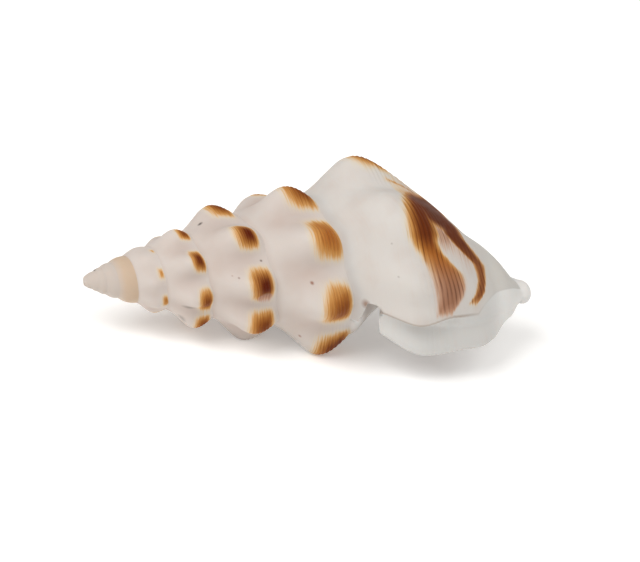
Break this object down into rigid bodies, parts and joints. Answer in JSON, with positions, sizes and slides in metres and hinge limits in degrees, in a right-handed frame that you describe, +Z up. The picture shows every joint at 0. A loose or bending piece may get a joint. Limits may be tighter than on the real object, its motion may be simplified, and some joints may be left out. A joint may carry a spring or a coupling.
{
  "type": "turrid shell",
  "caption": "Slender spired sea-snail shell with knobbed whorls, a thin flared lip with a slit near the seam, a hollow mouth and a short bent canal, lying mouth down.",
  "frame": {"origin": "centre of the bounding box's footprint, on the surface that the shell lies on", "axes": "+X from the tip of the spire towards the canal, +Z up, the back with the lip towards -Y"},
  "size_m": [0.0254, 0.0116, 0.0096],
  "materials": {
    "shell": "satin, warm white with brown spots and bands"
  },
  "bodies": {
    "root": {"shell": "shell"}
  },
  "joints": []
}
